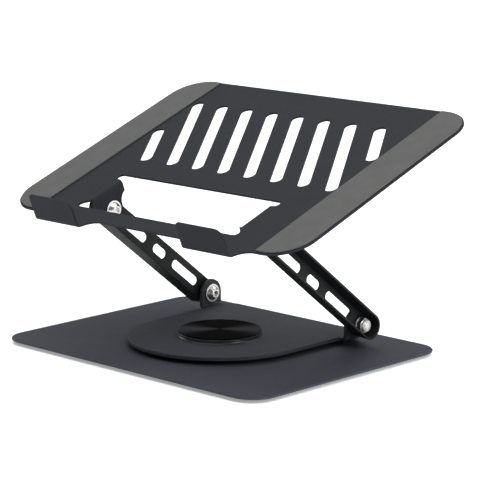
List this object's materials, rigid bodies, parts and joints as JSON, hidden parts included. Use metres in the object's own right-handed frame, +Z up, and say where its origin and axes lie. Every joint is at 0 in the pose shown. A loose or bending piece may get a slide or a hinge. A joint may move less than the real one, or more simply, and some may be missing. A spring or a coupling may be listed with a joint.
{
  "type": "laptop stand",
  "caption": "Slotted tilting tray with front lips and grip strips, held by two slotted channel arms on a turntable over a flat rounded base plate.",
  "frame": {"origin": "on the table surface under the centre of the base plate, on the swivel axis", "axes": "+X across the width to the user's right, +Y to the rear, +Z up; the user sits on the -Y side"},
  "size_m": [0.278, 0.2098, 0.1687],
  "materials": {
    "slate_coat": "fine matte powder coat",
    "black_coat": "satin powder coat",
    "black_spun": "spun, black anodised",
    "stainless": "bright",
    "nylon": "matte",
    "grey_silicone": "matte, fine texture",
    "foot_rubber": "matte"
  },
  "bodies": {
    "base": {"base_plate": "slate_coat", "foot_pad_fl": "foot_rubber", "foot_pad_fr": "foot_rubber", "foot_pad_rl": "foot_rubber", "foot_pad_rr": "foot_rubber", "foot_pad_mid": "foot_rubber", "swivel_post": "stainless", "glide_ring": "nylon", "keeper_washer": "nylon", "keeper_disc": "stainless", "centre_screw": "stainless"},
    "turntable": {"turntable_plate": "slate_coat", "hub_ring": "slate_coat", "hub_cap": "black_spun", "lower_screw_l": "stainless", "lower_screw_r": "stainless", "lower_washer_l": "stainless", "lower_washer_r": "stainless", "lower_friction_l": "nylon", "lower_friction_r": "nylon", "lower_spring_l": "stainless", "lower_spring_r": "stainless", "lower_nut_l": "stainless", "lower_nut_r": "stainless"},
    "left_arm": {"left_arm": "black_coat"},
    "right_arm": {"right_arm": "black_coat"},
    "upper_pins": {"upper_screw_l": "stainless", "upper_screw_r": "stainless", "upper_washer_l": "stainless", "upper_washer_r": "stainless", "upper_spring_l": "stainless", "upper_spring_r": "stainless", "upper_nut_l": "stainless", "upper_nut_r": "stainless"},
    "tray": {"tray_plate": "slate_coat", "side_pad_l": "grey_silicone", "side_pad_r": "grey_silicone", "lip_pad_l": "grey_silicone", "lip_pad_r": "grey_silicone", "upper_friction_l": "nylon", "upper_friction_r": "nylon"}
  },
  "joints": [
    {"name": "swivel", "type": "hinge", "parent": "base", "child": "turntable", "pos_m": [0, 0, 0.007], "axis": [0, 0, 1], "continuous": true},
    {"name": "left_arm_lift", "type": "hinge", "parent": "turntable", "child": "left_arm", "pos_m": [0, 0.0627, 0.0189], "axis": [-1, 0, 0], "range_deg": [-37.9, 37]},
    {"name": "right_arm_lift", "type": "hinge", "parent": "turntable", "child": "right_arm", "pos_m": [0, 0.0627, 0.0189], "axis": [-1, 0, 0], "range_deg": [-37.9, 37]},
    {"name": "tray_level", "type": "hinge", "parent": "left_arm", "child": "upper_pins", "pos_m": [0, -0.03515, 0.09507], "axis": [-1, 0, 0], "range_deg": [-37, 37.9]},
    {"name": "tray_tilt", "type": "hinge", "parent": "upper_pins", "child": "tray", "pos_m": [0, -0.03515, 0.09507], "axis": [1, 0, 0], "range_deg": [-20.6, 6]}
  ],
  "couplings": [
    {"joint": "right_arm_lift", "follows": "left_arm_lift", "ratio": 1},
    {"joint": "tray_level", "follows": "left_arm_lift", "ratio": -1}
  ]
}
